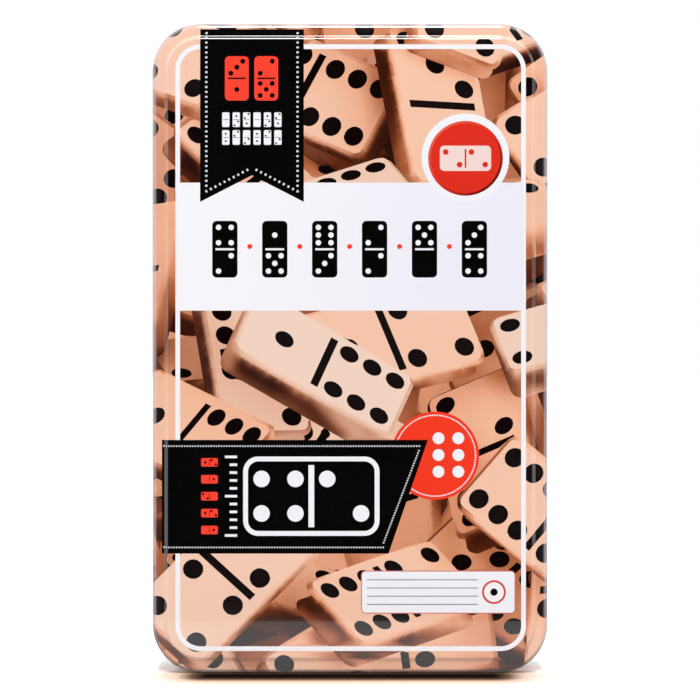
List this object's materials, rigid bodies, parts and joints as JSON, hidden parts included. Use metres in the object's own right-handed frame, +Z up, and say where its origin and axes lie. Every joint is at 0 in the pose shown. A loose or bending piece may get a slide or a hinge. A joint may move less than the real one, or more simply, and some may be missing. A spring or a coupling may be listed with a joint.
{
  "type": "domino storage box",
  "caption": "Flat round-cornered slip-lid tin, stood on its short end, that holds a set of dominoes in a formed insert.",
  "frame": {"origin": "centre of the footprint on the surface that the tin stands on, on its short end", "axes": "+Z up along the tin's long sides, -Y out of the lid, +Y out of the back, +X to the right as seen from the front"},
  "size_m": [0.116, 0.0242, 0.1904],
  "materials": {
    "printed_lid": "tinplate printed in peach, ivory, brown, red, black and white under a gloss varnish",
    "bare_tinplate": "bright tinplate under a clear lacquer",
    "insert_plastic": "black satin formed sheet",
    "tile_plastic": "polished ivory plastic with black painted pips and bar"
  },
  "bodies": {
    "tin_base": {"base": "bare_tinplate", "insert": "insert_plastic", "tile_0_0": "tile_plastic", "tile_0_1": "tile_plastic", "tile_0_2": "tile_plastic", "tile_0_3": "tile_plastic", "tile_0_4": "tile_plastic", "tile_0_5": "tile_plastic", "tile_0_6": "tile_plastic", "tile_1_1": "tile_plastic", "tile_1_2": "tile_plastic", "tile_1_3": "tile_plastic", "tile_1_4": "tile_plastic", "tile_1_5": "tile_plastic", "tile_1_6": "tile_plastic", "tile_2_2": "tile_plastic", "tile_2_3": "tile_plastic", "tile_2_4": "tile_plastic", "tile_2_5": "tile_plastic", "tile_2_6": "tile_plastic", "tile_3_3": "tile_plastic", "tile_3_4": "tile_plastic", "tile_3_5": "tile_plastic", "tile_3_6": "tile_plastic", "tile_4_4": "tile_plastic", "tile_4_5": "tile_plastic", "tile_4_6": "tile_plastic", "tile_5_5": "tile_plastic", "tile_5_6": "tile_plastic", "tile_6_6": "tile_plastic"},
    "lid": {"lid": "printed_lid"}
  },
  "joints": [
    {"name": "lid_lift_off", "type": "slide", "parent": "tin_base", "child": "lid", "axis": [0, -1, 0], "range_m": [0, 0.06]}
  ]
}
